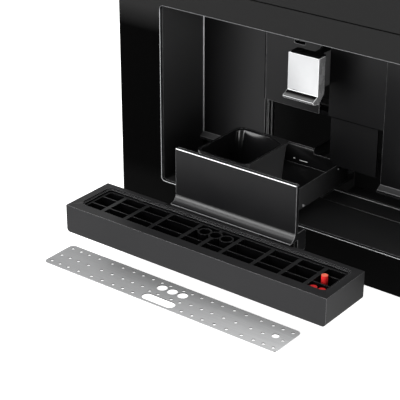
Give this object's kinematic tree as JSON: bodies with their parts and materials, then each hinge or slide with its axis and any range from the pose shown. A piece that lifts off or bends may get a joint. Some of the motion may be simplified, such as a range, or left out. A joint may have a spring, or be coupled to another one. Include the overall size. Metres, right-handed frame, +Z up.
{
  "type": "built-in coffee machine",
  "caption": "Built-in bean-to-cup coffee machine with black glass front, chrome spout, and its drip tray and grounds drawer pulled out.",
  "frame": {"origin": "middle of the overall box at the height of the surface that the feet stand on", "axes": "+X to the right seen from the front, +Y from the front glass towards the back, +Z up"},
  "size_m": [0.595, 0.6942, 0.457],
  "materials": {
    "gloss_black_glass": "gloss black printed glass",
    "black_plastic": "fine-textured satin black",
    "dark_grey_plastic": "satin dark grey",
    "smoked_plastic": "smoked transparent",
    "clear_plastic": "clear",
    "white_plastic": "frosted white",
    "red_plastic": "gloss red",
    "brushed_steel": "brushed, fine grain along the length",
    "bright_trim": "bright rolled bead",
    "chrome": "polished",
    "zinc_steel": "zinc-coated sheet",
    "aluminium": "cast, satin",
    "steel": "machined steel",
    "rubber": "matt black",
    "circuit_board": "solder-masked board",
    "pipe_plastic": "milky translucent"
  },
  "bodies": {
    "machine": {"fascia": "gloss_black_glass", "control_glass": "gloss_black_glass", "front_carrier": "black_plastic", "niche_trim": "bright_trim", "display_module": "dark_grey_plastic", "button_switch": "dark_grey_plastic", "niche_liner": "black_plastic", "niche_floor": "black_plastic", "back_walls": "black_plastic", "spout_panel_left": "black_plastic", "spout_panel_right": "black_plastic", "bay_cover": "black_plastic", "bay_jamb": "dark_grey_plastic", "bay_shell": "dark_grey_plastic", "gutters": "black_plastic", "cup_light": "white_plastic", "spout_rods": "steel", "rod_brackets": "zinc_steel", "fixed_rails": "zinc_steel", "chassis_base": "zinc_steel", "housing_left": "zinc_steel", "housing_right": "zinc_steel", "rear_panel": "zinc_steel", "top_cover": "zinc_steel", "feet": "rubber", "housing_screws": "steel", "tank_seat": "dark_grey_plastic", "tank_shelf": "zinc_steel", "water_pipe": "pipe_plastic", "bean_hopper": "smoked_plastic", "grinder_housing": "dark_grey_plastic", "grinder_motor": "zinc_steel", "grinder_stand": "zinc_steel", "coffee_chute": "dark_grey_plastic", "brew_frame": "dark_grey_plastic", "brew_chamber": "dark_grey_plastic", "brew_motor": "zinc_steel", "boiler": "aluminium", "pump": "dark_grey_plastic", "main_board": "circuit_board", "inlet_socket": "black_plastic"},
    "carriage": {"drawer_front": "black_plastic", "drawer_body": "black_plastic", "drawer_rails": "steel"},
    "container": {"grounds_container": "dark_grey_plastic"},
    "tray": {"drip_tray": "dark_grey_plastic", "tray_grid": "dark_grey_plastic"},
    "float_drum": {"float": "red_plastic"},
    "plate": {"drip_plate": "brushed_steel"},
    "spout": {"spout_cover": "chrome", "spout_body": "black_plastic", "spout_nozzles": "dark_grey_plastic", "spout_slide": "dark_grey_plastic"},
    "button": {"power_button": "dark_grey_plastic"},
    "tank": {"water_tank": "clear_plastic"},
    "tank_cap": {"tank_lid": "black_plastic"},
    "bean_cap": {"bean_lid": "black_plastic"},
    "piston": {"brew_piston": "steel"},
    "lift_screw": {"brew_screw": "steel"},
    "burr": {"grinder_burr": "steel"}
  },
  "joints": [
    {"name": "carriage_slide", "type": "slide", "parent": "machine", "child": "carriage", "axis": [0, -1, 0], "range_m": [-0.216, 0]},
    {"name": "container_lift", "type": "slide", "parent": "carriage", "child": "container", "axis": [0, 0, 1], "range_m": [0, 0.12]},
    {"name": "tray_unhook", "type": "slide", "parent": "carriage", "child": "tray", "axis": [0, -1, 0], "range_m": [0, 0.03]},
    {"name": "float_rise", "type": "slide", "parent": "tray", "child": "float_drum", "axis": [0, 0, 1], "range_m": [0, 0.006]},
    {"name": "plate_slide", "type": "slide", "parent": "machine", "child": "plate", "axis": [0, -1, 0], "range_m": [0, 0.12]},
    {"name": "spout_height", "type": "slide", "parent": "machine", "child": "spout", "axis": [0, 0, 1], "range_m": [-0.043, 0.035]},
    {"name": "button_press", "type": "slide", "parent": "machine", "child": "button", "axis": [0, 1, 0], "range_m": [0, 0.002], "stiffness_N_per_m": 900, "springref_m": -0.0005},
    {"name": "tank_lift", "type": "slide", "parent": "machine", "child": "tank", "axis": [0, 0, 1], "range_m": [0, 0.2]},
    {"name": "tank_lid_hinge", "type": "hinge", "parent": "tank", "child": "tank_cap", "pos_m": [-0.1973, 0.20067, 0.4373], "axis": [-1, 0, 0], "range_deg": [0, 100]},
    {"name": "bean_lid_hinge", "type": "hinge", "parent": "machine", "child": "bean_cap", "pos_m": [0.1898, 0.24968, 0.4504], "axis": [-1, 0, 0], "range_deg": [0, 100]},
    {"name": "piston_stroke", "type": "slide", "parent": "machine", "child": "piston", "axis": [0, 0, -1], "range_m": [0, 0.04]},
    {"name": "screw_turn", "type": "hinge", "parent": "machine", "child": "lift_screw", "pos_m": [-0.04, 0.22567, 0.3], "axis": [0, 0, 1], "range_deg": [0, 360]},
    {"name": "burr_spin", "type": "hinge", "parent": "machine", "child": "burr", "pos_m": [0.1898, 0.15968, 0.35], "axis": [0, 0, 1], "continuous": true}
  ],
  "couplings": [
    {"joint": "screw_turn", "follows": "piston_stroke", "rad_per_m": 157.08}
  ]
}
